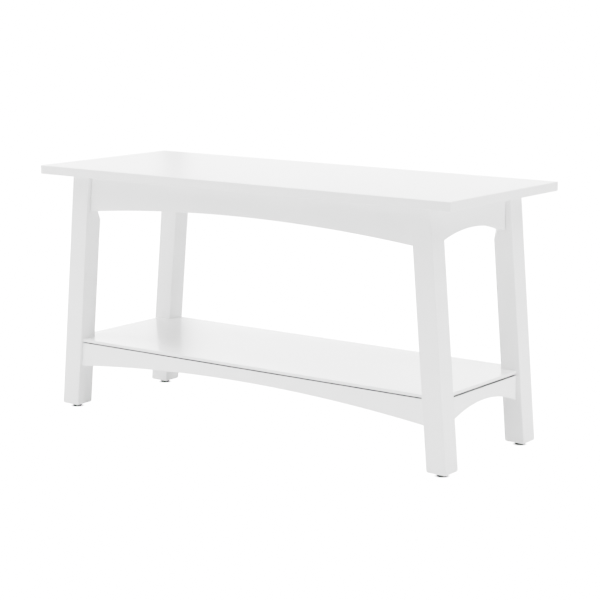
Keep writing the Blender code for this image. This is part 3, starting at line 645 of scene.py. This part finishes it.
def foot_meshes():
    """The meshes of a foot's threaded insert, stem and pad."""
    stem_length, stem_radius = size_of("foot_stem")
    insert_length, insert_radius = size_of("foot_insert")
    pad_height, pad_radius = size_of("foot_pad")
    insert = insert_mesh(insert_length, insert_radius, stem_radius)
    stem = rod_mesh(stem_length, stem_radius, MACHINE_PITCH)
    pad = pad_mesh(pad_height, pad_radius, stem_radius + SOCKET_CLEARANCE)
    return insert, stem, pad


def build_hardware():
    bright = zinc("bright_zinc", 0.30)
    satin = zinc("satin_zinc", 0.42)
    black = moulded_plastic("black_moulded_plastic")
    diagonal = Vector((1.0, 1.0, 0.0)).normalized()
    from_leg = Vector((-1.0, 0.0, 0.0))
    block_bolt, block_nut = bolt_and_nut(
        "block", diagonal, BLOCK_BOLT_WOOD_SHARE, BLOCK_NUT_WIDTH, MACHINE_PITCH
    )
    rail_bolt, rail_nut = bolt_and_nut(
        "rail", from_leg, RAIL_BOLT_WOOD_SHARE, RAIL_NUT_WIDTH, SMALL_PITCH
    )
    top_screw = screw_for("top_screw")
    shelf_screw = screw_for("shelf_screw")
    insert, stem, pad = foot_meshes()
    for corner, (side_x, side_y) in CORNERS.items():
        foot = f"foot_{corner}"
        inward = Vector((-side_x, -side_y, 0.0)).normalized()
        from_end = Vector((-side_x, 0.0, 0.0))
        put("block_bolt", corner, block_bolt, inward, bright, "zinc_steel")
        put("block_nut", corner, block_nut, inward, bright, "zinc_steel")
        put("rail_bolt", corner, rail_bolt, from_end, bright, "zinc_steel")
        put("rail_nut", corner, rail_nut, from_end, bright, "zinc_steel")
        put("top_screw", corner, top_screw, UP, bright, "zinc_steel")
        put("shelf_screw", corner, shelf_screw, UP, bright, "zinc_steel")
        put("foot_insert", corner, insert, UP, satin, "insert_steel")
        put("foot_stem", corner, stem, UP, satin, "stem_steel", foot)
        put("foot_pad", corner, pad, UP, black, "black_plastic", foot)


# ------------------------------------------------------------------ stage
def stage_material(name, colour, glow):
    """A pale matt floor that the camera sees as bright as a lit studio sweep, with painted contact
    shadows under the feet.
    """
    material = bpy.data.materials.new(name)
    material.use_nodes = True
    tree = material.node_tree
    shader = tree.nodes["Principled BSDF"]
    shader.inputs["Base Color"].default_value = (*colour, 1.0)
    shader.inputs["Roughness"].default_value = 0.9
    shader.inputs["Specular IOR Level"].default_value = 0.1
    shader.inputs["Emission Color"].default_value = (1.0, 1.0, 1.0, 1.0)
    level = tree.nodes.new("ShaderNodeLightPath").outputs["Is Camera Ray"]
    level = scaled(tree, level, glow)
    # The glow is cut under each foot to paint a contact shadow.
    for corner in CORNERS:
        level = scaled(tree, level, outside_painted_foot_shadow(tree, corner))
    tree.links.new(level, shader.inputs["Emission Strength"])
    return material


def scaled(tree, first, second):
    """The product of a socket and either another socket or a plain number."""
    product = tree.nodes.new("ShaderNodeMath")
    product.operation = "MULTIPLY"
    tree.links.new(first, product.inputs[0])
    if isinstance(second, float):
        product.inputs[1].default_value = second
    else:
        tree.links.new(second, product.inputs[1])
    return product.outputs["Value"]


def outside_painted_foot_shadow(tree, corner):
    """0 in the painted contact shadow under a foot, rising smoothly to 1 just beyond it."""
    low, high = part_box(f"foot_pad_{corner}")
    radius = (high[0] - low[0]) / 2
    place = tree.nodes.new("ShaderNodeTexCoord")
    distance = tree.nodes.new("ShaderNodeVectorMath")
    distance.operation = "DISTANCE"
    distance.inputs[1].default_value = ((low[0] + high[0]) / 2, (low[1] + high[1]) / 2, 0.0)
    tree.links.new(place.outputs["Object"], distance.inputs[0])
    fade = tree.nodes.new("ShaderNodeMapRange")
    fade.interpolation_type = "SMOOTHSTEP"
    fade.inputs["From Min"].default_value = radius
    fade.inputs["From Max"].default_value = radius + CONTACT_SHADOW_FADE
    tree.links.new(distance.outputs["Value"], fade.inputs["Value"])
    return fade.outputs["Result"]


FLOOR_SIZE = 240.0
FLOOR_GREY = (0.82, 0.82, 0.82)
FLOOR_GLOW = 17.0
# Width in metres over which a painted contact shadow fades into the floor's glow.
CONTACT_SHADOW_FADE = 0.009


def build_floor():
    bm = bmesh.new()
    bmesh.ops.create_grid(bm, x_segments=1, y_segments=1, size=FLOOR_SIZE / 2)
    mesh = mesh_from_bmesh(bm, "floor")
    mesh.materials.append(stage_material("pale_floor", FLOOR_GREY, FLOOR_GLOW))
    floor = bpy.data.objects.new("floor", mesh)
    bpy.context.scene.collection.objects.link(floor)


STAGE_MIDDLE = Vector((0.0, 0.0, 0.3))
SOFTBOX_DISTANCE = 3.4


def add_softbox(name, location, target, size, power):
    """A one-sided soft light, which lights the scene but stays out of the picture."""
    data = bpy.data.lights.new(name, "AREA")
    data.shape = "RECTANGLE"
    data.size = size[0]
    data.size_y = size[1]
    data.energy = power
    light = bpy.data.objects.new(name, data)
    light.location = location
    aim = Vector(target) - Vector(location)
    light.rotation_mode = "QUATERNION"
    light.rotation_quaternion = aim.to_track_quat("-Z", "Y")
    light.visible_camera = False
    bpy.context.scene.collection.objects.link(light)
    return light


def add_standing_softbox(name, bearing, height_angle, size, power):
    """A softbox on a stand; its bearing runs counter-clockwise from +X, in degrees."""
    around = math.radians(bearing)
    above = math.radians(height_angle)
    flat = SOFTBOX_DISTANCE * math.cos(above)
    offset = Vector((
        flat * math.cos(around),
        flat * math.sin(around),
        SOFTBOX_DISTANCE * math.sin(above),
    ))
    return add_softbox(name, STAGE_MIDDLE + offset, STAGE_MIDDLE, size, power)


WORLD_STRENGTH = 0.0
WORLD_GLOW = 20.0


def build_world():
    """A world that lights nothing, which the camera sees as a plain white background."""
    world = bpy.data.worlds.new("studio")
    bpy.context.scene.world = world
    world.use_nodes = True
    tree = world.node_tree
    background = tree.nodes["Background"]
    background.inputs["Color"].default_value = (1.0, 1.0, 1.0, 1.0)
    path = tree.nodes.new("ShaderNodeLightPath")
    level = tree.nodes.new("ShaderNodeMapRange")
    level.inputs["To Min"].default_value = WORLD_STRENGTH
    level.inputs["To Max"].default_value = WORLD_GLOW
    tree.links.new(path.outputs["Is Camera Ray"], level.inputs["Value"])
    tree.links.new(level.outputs["Result"], background.inputs["Strength"])


def build_lights():
    high = (2.0, 1.8)
    middling = (1.7, 1.5)
    low = (1.7, 1.0)
    add_softbox("overhead", (0.0, 0.0, 3.2), (0.0, 0.0, 0.0), (2.4, 2.0), 346.0)
    add_standing_softbox("left_front_high", 225.0, 52.0, high, 124.0)
    add_standing_softbox("right_high", 0.0, 52.0, high, 184.0)
    add_standing_softbox("left_front", 210.0, 28.0, middling, 109.0)
    add_standing_softbox("front_low", 270.0, 6.0, low, 66.0)
    add_standing_softbox("rear_low", 120.0, 6.0, low, 112.0)
    add_standing_softbox("rear_left_low", 150.0, 6.0, low, 108.0)
    add_softbox("right_near", (1.9, 0.3, 0.5), (0.5, 0.0, 0.3), (1.0, 0.8), 25.6)


def build_camera():
    azimuth = math.radians(CAMERA_AZIMUTH)
    elevation = math.radians(CAMERA_ELEVATION)
    roll = math.radians(CAMERA_ROLL)
    level = math.cos(elevation)
    back = Vector((math.sin(azimuth) * level, -math.cos(azimuth) * level, math.sin(elevation)))
    right = UP.cross(back).normalized()
    upward = back.cross(right)
    tilted_right = right * math.cos(roll) + upward * math.sin(roll)
    tilted_up = upward * math.cos(roll) - right * math.sin(roll)
    data = bpy.data.cameras.new("camera")
    data.lens = CAMERA_LENS
    data.sensor_width = SENSOR_WIDTH
    data.clip_end = 2 * FLOOR_SIZE
    camera = bpy.data.objects.new("camera", data)
    turn = Matrix((tilted_right, tilted_up, back)).transposed().to_4x4()
    camera.matrix_world = Matrix.Translation(CAMERA_TARGET + back * CAMERA_DISTANCE) @ turn
    bpy.context.scene.collection.objects.link(camera)
    bpy.context.scene.camera = camera


build_camera()
build_wood()
build_hardware()
build_floor()
build_world()
build_lights()
